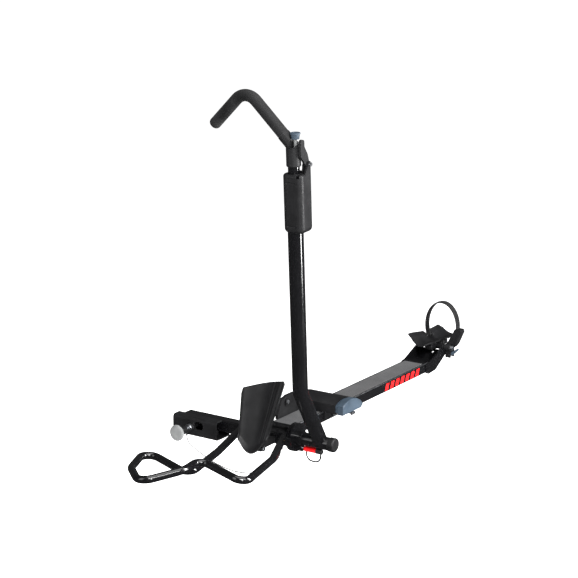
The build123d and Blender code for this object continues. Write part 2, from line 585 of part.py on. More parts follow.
def make_head():
    head = rod_z(17.5, HEAD_BOTTOM, HEAD_TOP)
    head = fillet(head.edges().group_by(Axis.Z)[0], 3.0)
    head += rod_z(16.5, HEAD_TOP, HEAD_TOP + 8)
    axis = Pos(0, 0, HOOK_AXIS_Z) * Rot(HOOK_RISE - 90, 0, 0)
    socket = axis * Pos(0, 0, 18) * Cylinder(HOOK_TUBE / 2 + 4.5, 36)
    head += socket - block(-40, 40, -60, 60, 500, HEAD_TOP - 10)
    head -= rod_z(SLIDER_OD / 2, HEAD_BOTTOM - 1, SLIDER_TOP)
    head -= axis * Pos(0, 0, 61) * Cylinder(HOOK_TUBE / 2, 80)
    head -= rod_z(13.5, BUTTON_BOTTOM - BUTTON_TRAVEL - 2, 680, 0, BUTTON_Y)
    head -= rod_z(4.05, SLIDER_TOP - 1, 640, 0, BUTTON_Y)
    head -= block(-30, 4, BUTTON_Y - 6, BUTTON_Y + 7, HEAD_TOP + 2, 660)
    save("head_casting", in_mast(max(head.solids(), key=lambda s: s.volume)), colour=PLASTIC)

    height = BUTTON_TOP - BUTTON_BOTTOM
    button = Pos(0, BUTTON_Y, BUTTON_BOTTOM + height / 2) * Cone(9.4, 11.4, height)
    button += rod_z(12.4, BUTTON_TOP - 3.5, BUTTON_TOP, 0, BUTTON_Y)
    button = fillet(button.edges().group_by(Axis.Z)[-1], 1.2)
    button -= Pos(0, BUTTON_Y, BUTTON_TOP + 14) * Sphere(16.5)
    save("release_button", in_mast(button), colour=BLUE_GREY)
    stem = rod_z(4.0, 588, BUTTON_BOTTOM, 0, BUTTON_Y) + rod_z(5.5, 585, 588, 0, BUTTON_Y)
    save("button_stem", in_mast(stem), colour=LIGHT_GREY)


def make_hook():
    tube = tube_along(hook_path(21, HOOK_TAIL - 6), HOOK_TUBE / 2, HOOK_TUBE / 2 - 2)
    save("hook_tube", in_mast(tube), colour=BLACK)
    sleeve = tube_along(hook_path(36.5, HOOK_TAIL - 6), HOOK_SLEEVE / 2, HOOK_TUBE / 2)
    save("hook_sleeve", in_mast(sleeve), colour=PLASTIC)
    end = Vector(*hook_point(HOOK_LEG, HOOK_TAIL - 6))
    facing = Plane(origin=end, z_dir=(0, cos(radians(HOOK_DROP)), -sin(radians(HOOK_DROP))))
    cap = extrude(facing * Circle(HOOK_SLEEVE / 2), amount=11)
    cap = fillet(cap.edges().sort_by(lambda e: (e.center() - end).length)[-1], 10.0)
    cap += extrude(facing * Circle(HOOK_TUBE / 2 - 2), amount=-14)
    save("hook_end_cap", in_mast(cap), colour=PLASTIC)


# ---- rear wheel cradle -----------------------------------------------------------------------
SADDLE_X0, SADDLE_X1 = 718.0, 920.0
SADDLE_BOTTOM = 57.0
SADDLE_TILT = 3.5
CRADLE_FOOT = (750.0, -6.0)   # lower edge of the channel under the axle, in X and Z
CRADLE_LIP = (814.0, 31.0)
NEAR_ARM = [(697, 21), (699, -5), (711, -9), CRADLE_FOOT, CRADLE_LIP, (815, 50), (797, 57), (782, 54),
            (757, 37), (725, 28)]
FAR_CHEEK = [(692, 21), (694, -4), (704, -9), CRADLE_FOOT, CRADLE_LIP, (815, 50), (797, 58), (780, 52),
             (712, 24)]
STRAP_CENTRE = (51.0, 107.0)
STRAP_RADII = (50.0, 69.0)
STRAP_ANCHOR = (97.0, 72.0)
BUCKLE_TOP = 104.0
BUCKLE_X0, BUCKLE_X1 = 804.0, 828.0
LEVER_PIVOT = (22.0, 27.0)    # buckle lever's pin in Y and Z


def profile_x(points, x0, x1):
    """Extrude a closed outline in Y and Z from x0 to x1."""
    face = make_face(Polyline(*[(x0, y, z) for y, z in points], close=True))
    return extrude(face, amount=x1 - x0, dir=(1, 0, 0))


def make_cradle_mount():
    y0, y1 = TRAY_Y - TRAY_WIDTH / 2, TRAY_Y + TRAY_WIDTH / 2
    web = profile_y([CRADLE_FOOT, CRADLE_LIP, (CRADLE_LIP[0] - 2, CRADLE_LIP[1] + 3.5),
                     (CRADLE_FOOT[0] + 0.5, CRADLE_FOOT[1] + 4.5)], y0, y1)
    web -= Pos(803, 74, 26) * Rot(0, 30, 0) * Cylinder(4.0, 30)
    cheeks = profile_y(NEAR_ARM, y0 - 4, y0) + profile_y(FAR_CHEEK, y1, y1 + 4) + web
    cheeks -= rod_y(AXLE / 2, y0 - 5, y1 + 5, AXLE_X, AXLE_Z)
    print("cheek solids:", len(cheeks.solids()))
    save("cradle_cheeks", cheeks, colour=BLACK)
    axle = rod_y(AXLE / 2, 9, y1 + 4, AXLE_X, AXLE_Z)
    hexagon = Pos(AXLE_X, y1 + 10.5, AXLE_Z) * Rot(90, 0, 0) * extrude(RegularPolygon(9, 6), amount=6.5)
    save("cradle_axle", axle + hexagon, colour=STEEL)
    nut = Pos(AXLE_X, 16, AXLE_Z) * Rot(90, 0, 0) * extrude(RegularPolygon(8, 6), amount=6)
    save("axle_nut", nut - rod_y(AXLE / 2, 0, 20, AXLE_X, AXLE_Z), colour=STEEL)
    spacers = [rod_y(8, a, b, AXLE_X, AXLE_Z) - rod_y(AXLE / 2, a - 1, b + 1, AXLE_X, AXLE_Z)
               for a, b in ((y0, TRAY_Y - 15), (TRAY_Y + 15, y1))]
    save("axle_spacers", *spacers, colour=BLACK)


def make_saddle():
    section = [(-41, 21), (-38, 25), (-13, 5), (13, 5), (38, 25), (41, 21), (16, 0), (-16, 0)]
    trough = profile_x([(TRAY_Y + y, SADDLE_BOTTOM + z) for y, z in section], SADDLE_X0, SADDLE_X1)
    with BuildSketch() as plan:
        with Locations(((SADDLE_X0 + SADDLE_X1) / 2, TRAY_Y)):
            RectangleRounded(SADDLE_X1 - SADDLE_X0, 86, 26)
        for y, depth in ((TRAY_Y - 43, 34), (TRAY_Y + 43, 62)):
            with Locations((STRAP_X, y)):
                RectangleRounded(34, depth, 8, mode=Mode.SUBTRACT)
    trough &= Pos(0, 0, 20) * extrude(plan.sketch, amount=120)
    trough = Pos(AXLE_X, 0, AXLE_Z) * Rot(0, SADDLE_TILT, 0) * Pos(-AXLE_X, 0, -AXLE_Z) * trough
    lug = block(AXLE_X - 13, AXLE_X + 13, TRAY_Y - 14.5, TRAY_Y + 14.5, AXLE_Z, SADDLE_BOTTOM + 3)
    lug += rod_y(13, TRAY_Y - 14.5, TRAY_Y + 14.5, AXLE_X, AXLE_Z)
    ear = block(STRAP_X - 22, STRAP_X - 12, 88, 102, 62, 76)
    ear += block(STRAP_X + 12, STRAP_X + 22, 88, 102, 62, 76)
    saddle = trough + lug + ear
    saddle -= rod_y(AXLE / 2 + 0.05, 0, 150, AXLE_X, AXLE_Z)
    y, z = STRAP_ANCHOR
    saddle -= rod_x(2.5, STRAP_X - 18, STRAP_X + 18, y, z)
    print("saddle solids:", len(saddle.solids()))
    save("wheel_saddle", saddle, colour=PLASTIC)


def make_strap():
    (cy, cz), (ry, rz) = STRAP_CENTRE, STRAP_RADII
    half = STRAP_THICKNESS / 2
    x0 = STRAP_X - STRAP_WIDTH / 2
    plane = Plane(origin=(x0, cy, cz), x_dir=(0, 1, 0), z_dir=(1, 0, 0))
    rim = Ellipse(ry + half, rz + half) - Ellipse(ry - half, rz - half)
    ring = extrude(plane * rim, amount=STRAP_WIDTH)
    ay, az = STRAP_ANCHOR
    below_anchor = block(x0 - 1, x0 + 30, cy, cy + 100, 0, az)
    below_buckle = block(x0 - 1, x0 + 30, cy - 100, cy, 0, BUCKLE_TOP)
    band = ring - below_anchor - below_buckle
    band += rod_x(5.5, x0, x0 + STRAP_WIDTH, ay, az)
    band -= rod_x(2.5, x0 - 1, x0 + 30, ay, az)
    print("strap solids:", len(band.solids()))
    save("ladder_strap", band, colour=PLASTIC)

    py, pz = LEVER_PIVOT
    body = profile_x([(17, 18), (33, 18), (33, 56), (24, 68), (5, BUCKLE_TOP), (-12, BUCKLE_TOP), (-15, 97),
                      (0, 62), (8, 50), (17, 44)], BUCKLE_X0, BUCKLE_X1)
    body += rod_y(10, 16.5, 33.4, AXLE_X, AXLE_Z)
    body -= rod_y(10.5, -20, 16.3, AXLE_X, AXLE_Z)
    body -= rod_y(AXLE / 2 + 0.05, 0, 40, AXLE_X, AXLE_Z)
    body -= block(BUCKLE_X0 + 4, BUCKLE_X1 - 4, 0, 29.5, 10, 37)
    body -= rod_x(2.0, BUCKLE_X0 - 1, BUCKLE_X1 + 1, py, pz)
    print("buckle solids:", len(body.solids()))
    save("buckle_body", max(body.solids(), key=lambda s: s.volume), colour=PLASTIC)
    pins = [rod_x(2.0, BUCKLE_X0, BUCKLE_X1, py, pz), rod_x(2.5, STRAP_X - 18, STRAP_X + 18, ay, az)]
    save("strap_pins", *pins, colour=STEEL)
    blade = profile_x([(py - 4, pz + 4), (py - 18, pz + 16), (py - 23, pz + 16), (py - 22, pz + 12),
                       (py - 6, pz - 3)], BUCKLE_X0 + 4.6, BUCKLE_X1 - 4.6)
    blade += rod_x(5.5, BUCKLE_X0 + 4.6, BUCKLE_X1 - 4.6, py, pz)
    blade -= rod_x(2.05, BUCKLE_X0, BUCKLE_X1, py, pz)
    save("buckle_lever", blade, colour=BLUE_GREY)


make_hitch()
make_lanyard()
make_loop()
make_scoop()
make_tray()
make_cover()
make_pivot()
make_mast()
make_housing()
make_slider()
make_head()
make_hook()
make_cradle_mount()
make_saddle()
make_strap()
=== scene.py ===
"""Hitch mounted bike rack: camera, lanyard, finishes, detailed pieces and studio."""
import json
import math

import bmesh
import bpy
from mathutils import Matrix, Vector


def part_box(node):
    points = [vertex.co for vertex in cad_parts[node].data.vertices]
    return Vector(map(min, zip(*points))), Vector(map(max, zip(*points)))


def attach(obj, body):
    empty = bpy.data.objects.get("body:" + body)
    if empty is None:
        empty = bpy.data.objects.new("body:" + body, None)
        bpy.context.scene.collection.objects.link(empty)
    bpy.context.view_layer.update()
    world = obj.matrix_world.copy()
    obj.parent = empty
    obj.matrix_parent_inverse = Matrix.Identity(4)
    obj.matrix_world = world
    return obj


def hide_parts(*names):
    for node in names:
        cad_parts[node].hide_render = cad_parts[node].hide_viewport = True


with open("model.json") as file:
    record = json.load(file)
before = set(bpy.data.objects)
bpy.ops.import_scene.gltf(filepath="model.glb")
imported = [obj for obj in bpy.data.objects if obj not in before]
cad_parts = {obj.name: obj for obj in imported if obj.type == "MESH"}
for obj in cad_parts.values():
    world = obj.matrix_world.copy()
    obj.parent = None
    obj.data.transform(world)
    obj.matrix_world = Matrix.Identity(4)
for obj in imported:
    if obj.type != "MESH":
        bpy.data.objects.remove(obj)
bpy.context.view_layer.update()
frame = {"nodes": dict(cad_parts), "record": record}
NODES = frame["nodes"]
MM = 0.001


# ---- camera ------------------------------------------------------------------------------
CAMERA_PLACE = (-3.5626, -2.3609, 1.4651)
CAMERA_FORWARD = (0.8050, 0.5409, -0.2436)
CAMERA_LENS = 112.1


def make_camera():
    data = bpy.data.cameras.new("view")
    data.sensor_width = 36.0
    data.lens = CAMERA_LENS
    data.clip_end = 50.0
    forward = Vector(CAMERA_FORWARD).normalized()
    right = forward.cross(Vector((0, 0, 1))).normalized()
    up = right.cross(forward)
    camera = bpy.data.objects.new("view", data)
    turn = Matrix((right, up, -forward)).transposed().to_4x4()
    camera.matrix_world = Matrix.Translation(CAMERA_PLACE) @ turn
    bpy.context.scene.collection.objects.link(camera)
    bpy.context.scene.camera = camera


make_camera()


# ---- shader graphs -----------------------------------------------------------------------
class Graph:
    """A small wrapper that builds a Principled material node by node."""

    def __init__(self, name):
        self.material = bpy.data.materials.new(name)
        self.material.use_nodes = True
        self.tree = self.material.node_tree
        self.shader = self.tree.nodes["Principled BSDF"]
        self.place = self.add("ShaderNodeTexCoord").outputs["Object"]

    def add(self, kind, links=None, **values):
        """Add a node. values sets its properties or inputs, links joins its inputs."""
        node = self.tree.nodes.new(kind)
        for name, value in values.items():
            label = name.replace("_", " ").title()
            if label in node.inputs:
                node.inputs[label].default_value = value
            else:
                setattr(node, name, value)
        for key, source in (links or {}).items():
            self.tree.links.new(source, node.inputs[key])
        return node

    def stretched(self, scale):
        """Object coordinates scaled differently along each axis."""
        return self.add("ShaderNodeMapping", {"Vector": self.place}, scale=scale).outputs["Vector"]

    def noise(self, scale, detail=3.0, roughness=0.55, place=None):
        node = self.add("ShaderNodeTexNoise", {"Vector": place or self.place},
                        scale=scale, detail=detail, roughness=roughness)
        return node.outputs["Fac"]

    def ramp(self, value, low, high, start=0.35, end=0.65):
        """Map a value between two numbers, with its middle stretched out."""
        node = self.add("ShaderNodeMapRange", {"Value": value})
        node.inputs["From Min"].default_value = start
        node.inputs["From Max"].default_value = end
        node.inputs["To Min"].default_value = low
        node.inputs["To Max"].default_value = high
        return node.outputs["Result"]

    def mix(self, factor, first, second):
        """Blend two colours, each a tuple or a socket."""
        node = self.add("ShaderNodeMix", {"Factor": factor}, data_type="RGBA")
        for slot, colour in ((6, first), (7, second)):
            if isinstance(colour, tuple):
                node.inputs[slot].default_value = (*colour, 1.0)
            else:
                self.tree.links.new(colour, node.inputs[slot])
        return node.outputs[2]

    def maths(self, operation, first, second):
        node = self.add("ShaderNodeMath", operation=operation)
        for slot, value in ((0, first), (1, second)):
            if isinstance(value, (int, float)):
                node.inputs[slot].default_value = value
            else:
                self.tree.links.new(value, node.inputs[slot])
        return node.outputs["Value"]

    def bump(self, *layers):
        """Stack height layers, each (socket, depth in mm), into the shader's normal."""
        normal = None
        for height, depth in layers:
            links = {"Height": height}
            if normal is not None:
                links["Normal"] = normal
            node = self.add("ShaderNodeBump", links, strength=1.0, distance=depth * MM)
            normal = node.outputs["Normal"]
        self.tree.links.new(normal, self.shader.inputs["Normal"])

    def set(self, **values):
        """Set or join the shader's inputs: a number, a colour tuple or a socket."""
        for name, value in values.items():
            socket = self.shader.inputs[name.replace("_", " ")]
            if isinstance(value, bpy.types.NodeSocket):
                self.tree.links.new(value, socket)
            elif isinstance(value, tuple):
                socket.default_value = (*value, 1.0)
            else:
                socket.default_value = value


def edge_wear(graph, radius, start=0.05, end=0.25):
    """Brighter where a bevelled normal leaves the flat one, as on rubbed edges."""
    rounded = graph.add("ShaderNodeBevel", radius=radius, samples=4).outputs["Normal"]
    flat = graph.add("ShaderNodeNewGeometry").outputs["Normal"]
    cross = graph.add("ShaderNodeVectorMath", {0: rounded, 1: flat}, operation="DOT_PRODUCT")
    gap = graph.maths("SUBTRACT", 1.0, cross.outputs["Value"])
    rubbed = graph.ramp(gap, 0.0, 1.0, start, end)
    broken = graph.ramp(graph.noise(160, 4), 0.0, 1.0, 0.42, 0.62)
    return graph.maths("MULTIPLY", rubbed, broken)


def powder_coat(name, colour, gloss, peel=0.012, shine=0.3):
    """Powder coat: orange peel, roughness clouds, dust and thin edges."""
    graph = Graph(name)
    clouds = graph.noise(9, 4)
    dust = graph.ramp(graph.noise(60, 6, 0.7), 0.0, 0.16, 0.55, 0.85)
    lighter = tuple(c * 1.9 + 0.006 for c in colour)
    coat = graph.mix(dust, colour, lighter)
    worn = graph.maths("MULTIPLY", edge_wear(graph, 0.8 * MM), 0.3)
    rough = graph.maths("ADD", graph.ramp(clouds, gloss, gloss + 0.08), graph.maths("MULTIPLY", dust, 0.25))
    graph.set(Base_Color=graph.mix(worn, coat, (0.16, 0.16, 0.17)), Roughness=rough, Specular_IOR_Level=shine)
    graph.bump((graph.noise(420, 2), peel), (graph.noise(35, 2), peel * 2))
    return graph.material


def moulded(name, colour, rough, grain=0.03, scale=900, flow=0.12, shine=0.2):
    """Moulded plastic: spark-eroded grain, flow clouds, scuffs and pale rubbed edges."""
    graph = Graph(name)
    clouds = graph.ramp(graph.noise(14, 4), 0.0, 1.0)
    darker = tuple(c * (1 - flow * 2) for c in colour)
    lighter = tuple(min(1.0, c * (1 + flow * 2) + 0.001) for c in colour)
    body = graph.mix(clouds, darker, lighter)
    scuffs = graph.ramp(graph.noise(1.0, 5, 0.7, graph.stretched((25, 60, 240))), 0.0, 0.3, 0.62, 0.75)
    worn = graph.maths("MULTIPLY", edge_wear(graph, 1.0 * MM), 0.5)
    pale = tuple(min(1.0, c * 1.6 + 0.008) for c in colour)
    graph.set(Base_Color=graph.mix(graph.maths("MAXIMUM", scuffs, worn), body, pale),
              Roughness=graph.ramp(graph.noise(40, 5), rough - 0.06, rough + 0.08),
              Specular_IOR_Level=shine)
    pits = graph.add("ShaderNodeTexVoronoi", {"Vector": graph.place}, scale=scale).outputs["Distance"]
    graph.bump((pits, grain), (graph.noise(30, 2), 0.05))
    return graph.material


def plated(name, colour, rough, brush=(30, 30, 900)):
    """Zinc plated or brushed metal with drawn lines and dull patches."""
    graph = Graph(name)
    lines = graph.noise(1.0, 4, 0.6, graph.stretched(brush))
    patches = graph.noise(50, 5, 0.65)
    dull = tuple(c * 0.55 for c in colour)
    graph.set(Base_Color=graph.mix(graph.ramp(patches, 0.0, 1.0, 0.4, 0.75), colour, dull), Metallic=1.0,
              Roughness=graph.maths("ADD", graph.ramp(lines, rough - 0.08, rough + 0.08),
                                    graph.ramp(patches, 0.0, 0.15)))
    graph.bump((lines, 0.01), (graph.noise(300, 3), 0.008))
    return graph.material


def foam_rubber(name, colour, rough, cell=1400):
    """Rubber or dense foam: fine open cells, soft sheen and handling marks."""
    graph = Graph(name)
    cells = graph.add("ShaderNodeTexVoronoi", {"Vector": graph.place}, scale=cell).outputs["Distance"]
    marks = graph.ramp(graph.noise(22, 5, 0.6), 0.0, 1.0, 0.4, 0.7)
    pale = tuple(c * 1.7 + 0.004 for c in colour)
    graph.set(Base_Color=graph.mix(marks, colour, pale),
              Roughness=graph.ramp(marks, rough, rough + 0.12, 0, 1),
              Specular_IOR_Level=0.18, Sheen_Weight=0.03, Sheen_Roughness=0.5)
    graph.bump((cells, 0.05), (graph.noise(70, 4), 0.08))
    return graph.material


def tread(name):
    """Grip tape: mineral grit in grey resin, darker and lighter in patches."""
    graph = Graph(name)
    grit = graph.add("ShaderNodeTexVoronoi", {"Vector": graph.place}, scale=1100).outputs["Distance"]
    specks = graph.ramp(grit, 0.0, 1.0, 0.05, 0.6)
    patches = graph.ramp(graph.noise(16, 5, 0.6), 0.0, 1.0, 0.3, 0.7)
    base = graph.mix(patches, (0.038, 0.038, 0.039), (0.055, 0.055, 0.057))
    grain = graph.mix(patches, (0.075, 0.075, 0.077), (0.10, 0.10, 0.102))
    graph.set(Base_Color=graph.mix(specks, grain, base),
              Roughness=graph.ramp(specks, 0.55, 0.85, 0, 1), Specular_IOR_Level=0.4)
    graph.bump((grit, 0.22), (graph.noise(300, 3), 0.05))
    return graph.material


MATERIALS = {
    "black_steel": powder_coat("black_steel", (0.0030, 0.0030, 0.0034), 0.10, shine=0.5),
    "black_alloy": powder_coat("black_alloy", (0.0035, 0.0035, 0.004), 0.18),
    "cast_grey": powder_coat("cast_grey", (0.008, 0.008, 0.0085), 0.42, 0.05, 0.18),
    "steel": plated("steel", (0.40, 0.41, 0.43), 0.24),
    "nylon_black": moulded("nylon_black", (0.006, 0.006, 0.0065), 0.42, shine=0.16),
    "grip_tread": tread("grip_tread"),
    "rubber_black": foam_rubber("rubber_black", (0.003, 0.003, 0.0033), 0.62),
    "blue_grey": moulded("blue_grey", (0.028, 0.040, 0.054), 0.36),
    "light_grey": moulded("light_grey", (0.15, 0.153, 0.153), 0.5, 0.08, 500),
    "red_grip": moulded("red_grip", (0.45, 0.001, 0.002), 0.5, flow=0.02),
    "bronze": plated("bronze", (0.42, 0.29, 0.14), 0.38),
    "cable": plated("cable", (0.20, 0.20, 0.20), 0.35),
}


def dress(node, slot):
    """Give a CAD node's object the finish of a slot."""
    slots = NODES[node].material_slots
    for each in slots:
        each.material = MATERIALS[slot]
    if not slots:
        NODES[node].data.materials.append(MATERIALS[slot])


for subpart in frame["record"]["subparts"]:
    dress(subpart["node"], subpart["material_slot"])


# ---- lanyard -----------------------------------------------------------------------------
LANYARD_ROUTE = [
    (-0.060, 0.309, -0.026),
    (-0.060, 0.309, -0.042),
    (-0.058, 0.286, -0.058),
    (-0.053, 0.246, -0.081),
    (-0.046, 0.200, -0.098),
    (-0.039, 0.153, -0.105),
    (-0.031, 0.107, -0.096),
    (-0.022, 0.071, -0.073),
    (-0.012, 0.050, -0.046),
    (-0.012, 0.050, -0.027),
]
CABLE = 2.4 * MM


def make_lanyard():
    data = bpy.data.curves.new("lanyard", "CURVE")
    data.dimensions = "3D"
    data.bevel_depth = CABLE / 2
    data.bevel_resolution = 4
    data.use_fill_caps = True
    spline = data.splines.new("NURBS")
    spline.points.add(len(LANYARD_ROUTE) - 1)
    for point, place in zip(spline.points, LANYARD_ROUTE):
        point.co = (*place, 1.0)
    spline.order_u = 3
    spline.use_endpoint_u = True
    spline.resolution_u = 16
    cable = bpy.data.objects.new("lanyard", data)
    bpy.context.scene.collection.objects.link(cable)
    data.materials.append(MATERIALS["cable"])
    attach(cable, "frame")
    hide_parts("lanyard_cable")


make_lanyard()


# ---- detailed pieces -----------------------------------------------------------------------
def finish_piece(mesh, name, slot, body, *nodes):
    """Link a mesh as a piece with a finish, the body that it rides on and the nodes it stands for."""
    piece = bpy.data.objects.new(name, mesh)
    bpy.context.scene.collection.objects.link(piece)
    mesh.materials.append(MATERIALS[slot])
    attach(piece, body)
    if nodes:
        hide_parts(*nodes)
    return piece


def grid(name, across, along, place, closed=False):
    """A sheet of quads: place(s, t) gives a point for s and t from 0 to 1, in millimetres."""
    work = bmesh.new()
    rows = []
    for j in range(along + 1):
        count = across if closed else across + 1
        rows.append([work.verts.new(Vector(place(i / across, j / along)) * MM) for i in range(count)])
    for low, high in zip(rows, rows[1:]):
        for i in range(across):
            k = (i + 1) % len(low)
            work.faces.new((low[i], low[k], high[k], high[i]))
    if closed:
        work.faces.new(list(reversed(rows[0])))
        work.faces.new(rows[-1])
    mesh = bpy.data.meshes.new(name)
    bmesh.ops.recalc_face_normals(work, faces=work.faces[:])
    for face in work.faces:
        face.smooth = True
    work.to_mesh(mesh)
    work.free()
    return mesh


def solid_sheet(piece, thickness, offset=0.0, bevel=0.8):
    """Give a sheet its thickness and softened edges."""
    wall = piece.modifiers.new("wall", "SOLIDIFY")
    wall.thickness = thickness * MM
    wall.offset = offset
    soft = piece.modifiers.new("soft", "BEVEL")
    soft.width = bevel * MM
    soft.segments = 2
    soft.angle_limit = math.radians(50)


def smoothstep(low, high, value):
    value = min(1.0, max(0.0, (value - low) / (high - low)))
    return value * value * (3 - 2 * value)


def mix(first, second, amount):
    return first + (second - first) * amount


# ---- wheel paddle --------------------------------------------------------------------------
SCOOP_FOOT_Z, SCOOP_HEAD_Z = -4.0, 172.0


def paddle_point(s, t):
    """s runs from the near edge to the far edge, t from the bottom lip to the top."""
    top = mix(168.0, 134.0, s)
    top -= 13.0 * smoothstep(0.93, 1.0, s) ** 2.2 + 8.0 * (1 - smoothstep(0.0, 0.07, s)) ** 2
    bottom = -15.0 + 36.0 * abs(2 * s - 1.02) ** 2.2
    z = mix(bottom, top, t)
    rise = (z - SCOOP_FOOT_Z) / (SCOOP_HEAD_Z - SCOOP_FOOT_Z)
    near, far = mix(36.0, 8.0, rise), mix(112.0, 136.0, rise)
    depth, middle = mix(14.0, 22.0, rise), mix(-104.0, -38.0, rise)
    x = middle - depth * (2 * s - 1) ** 2 + 2.5
    x += 7.0 * (1 - smoothstep(0.0, 0.13, s)) + 4.0 * smoothstep(0.93, 1.0, s)
    x -= 9.0 * (1 - smoothstep(0.0, 0.10, t)) * (1 - 0.6 * abs(2 * s - 1))
    for fold in (0.16, 0.24):
        x += 1.3 * math.exp(-(((s - fold) / 0.012) ** 2)) * smoothstep(0.06, 0.14, t)
    return x, mix(near, far, s), z


def make_paddle():
    piece = finish_piece(grid("paddle_shell", 90, 70, paddle_point), "paddle_shell", "nylon_black",
                         "wheel_scoop", "wheel_scoop")
    solid_sheet(piece, 4.0)
    for y in (60.0, 88.0):
        make_paddle_ear(y)


def make_paddle_ear(y):
    """One hinge ear with a round boss, moulded to the back of the paddle."""
    low, high = (Vector(c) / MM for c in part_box("scoop_bolt"))
    centre = (low + high) / 2
    arms = [(-9.0, 12.0), (9.0, 10.0), (25.0, 46.0), (14.0, 46.0)]
    work = bmesh.new()
    outline = [(8.6 * math.cos(a), 8.6 * math.sin(a)) for a in (math.radians(d) for d in range(160, 381, 12))]
    outline += [arms[1], arms[2], arms[3], arms[0]]
    rings = [[work.verts.new(Vector((centre.x + x, y + side, centre.z + z)) * MM) for x, z in outline]
             for side in (-3.0, 3.0)]
    for i in range(len(outline)):
        k = (i + 1) % len(outline)
        work.faces.new((rings[0][i], rings[0][k], rings[1][k], rings[1][i]))
    work.faces.new(rings[0])
    work.faces.new(list(reversed(rings[1])))
    bmesh.ops.recalc_face_normals(work, faces=work.faces[:])
    mesh = bpy.data.meshes.new("paddle_ear")
    work.to_mesh(mesh)
    work.free()
    piece = finish_piece(mesh, f"paddle_ear_{round(y)}", "nylon_black", "wheel_scoop")
    soft = piece.modifiers.new("soft", "BEVEL")
    soft.width = 1.0 * MM
    soft.segments = 2


make_paddle()


# ---- rear wheel cradle ---------------------------------------------------------------------
AXLE = Vector((804.0, 74.0, 48.0))
SADDLE_TILT = math.radians(3.5)
STRAP_X = 816.0
SADDLE_FIRST, SADDLE_LAST = 718.0, 920.0
TROUGH_Z = 59.5
FAR_WING = 35.0
NEAR_EDGE = 26.0


def saddle_point(s, t):
    """s runs across from the low near edge to the tall far wing, t along to the pointed end."""
    x = mix(SADDLE_FIRST, SADDLE_LAST, t)
    close_in = smoothstep(0.84, 1.0, t)
    notch = math.exp(-(((x - STRAP_X - 5.0) / 14.0) ** 4))
    far = mix(FAR_WING, 5.0, close_in) - 20.0 * notch
    near = mix(NEAR_EDGE, 4.0, close_in) - 4.0 * (1 - smoothstep(0.0, 0.2, t))
    y = mix(-near, far, s)
    z = TROUGH_Z
    if y < 0:
        z += 7.0 * smoothstep(8.0, NEAR_EDGE, -y)
    else:
        z += (27.0 + 3.5 * math.cos(2 * math.pi * t)) * (y / FAR_WING) ** 1.25
        z += 1.6 * math.exp(-(((y - 24.0) / 3.0) ** 2)) * (1 - notch)
    run, rise = x - AXLE.x, z - AXLE.z
    return (AXLE.x + run * math.cos(SADDLE_TILT) + rise * math.sin(SADDLE_TILT), AXLE.y + y,
            AXLE.z - run * math.sin(SADDLE_TILT) + rise * math.cos(SADDLE_TILT))


def box_piece(name, low, high, slot, body, bevel=1.5, segments=3):
    """A moulded block with rounded edges between two corners."""
    work = bmesh.new()
    bmesh.ops.create_cube(work, size=1.0)
    for vert in work.verts:
        vert.co = Vector([mix(a, b, c + 0.5) for a, b, c in zip(low, high, vert.co)]) * MM
    bmesh.ops.bevel(work, geom=work.edges[:], offset=bevel * MM, segments=segments,
                    affect="EDGES", profile=0.5)
    mesh = bpy.data.meshes.new(name)
    for face in work.faces:
        face.smooth = len(face.verts) < 5
    work.to_mesh(mesh)
    work.free()
    return finish_piece(mesh, name, slot, body)


def make_saddle():
    mesh = grid("saddle_shell", 60, 120, saddle_point)
    piece = finish_piece(mesh, "saddle_shell", "nylon_black", "cradle", "wheel_saddle")
    solid_sheet(piece, 4.0)
    box_piece("saddle_lug", (793, 60, 38), (815, 88, 62), "nylon_black", "cradle", 5.0, 4)
    for x, width in ((774.0, 20.0), (815.5, 24.0), (844.0, 26.0)):
        box_piece(f"saddle_keel_{round(x)}", (x, 62, 40), (x + width, 86, 54), "nylon_black", "cradle", 3.0)
    for x in (772.0, 800.0, 828.0):
        box_piece(f"saddle_rib_{round(x)}", (x, 61, 55), (x + 24, 87, 61), "nylon_black", "cradle", 2.0)
    for x in (794.0, 828.0):
        box_piece(f"strap_ear_{round(x)}", (x, 88, 62), (x + 10, 102, 77), "nylon_black", "cradle", 3.0)


STRAP_CENTRE = (51.0, 107.0)
STRAP_RADII = (50.0, 69.0)
STRAP_FIRST, STRAP_LAST = math.radians(-30.5), math.radians(182.4)
STRAP_TEETH = 74


def strap_point(s, t):
    """s runs round the strap's section, t along it from its anchor over the top to the buckle."""
    angle = mix(STRAP_FIRST, STRAP_LAST, t)
    corner = s * 4
    side, part = int(corner) % 4, corner % 1
    across = (mix(-10, 10, part), 10, mix(10, -10, part), -10)[side]
    out = (-1.5, mix(-1.5, 1.5, part), 1.5, mix(1.5, -1.5, part))[side]
    tooth = 0.5 + 0.5 * math.sin(2 * math.pi * STRAP_TEETH * t)
    if side == 2 and abs(across) < 7.5:
        out += 0.9 * tooth
    return (STRAP_X + across, STRAP_CENTRE[0] + (STRAP_RADII[0] + out) * math.cos(angle),
            STRAP_CENTRE[1] + (STRAP_RADII[1] + out) * math.sin(angle))


def make_strap():
    mesh = grid("ladder_strap_band", 40, STRAP_TEETH * 6, strap_point, closed=True)
    finish_piece(mesh, "ladder_strap_band", "rubber_black", "cradle", "ladder_strap")
    eye = grid("strap_eye", 28, 1, lambda s, t: (mix(806, 826, t), 97 + 5.3 * math.cos(2 * math.pi * s),
                                                 72 + 5.3 * math.sin(2 * math.pi * s)), closed=True)
    finish_piece(eye, "strap_eye", "rubber_black", "cradle")


make_saddle()
make_strap()


# ---- hitch knob --------------------------------------------------------------------------
KNURLS = 36
KNURL_DEPTH = 0.9


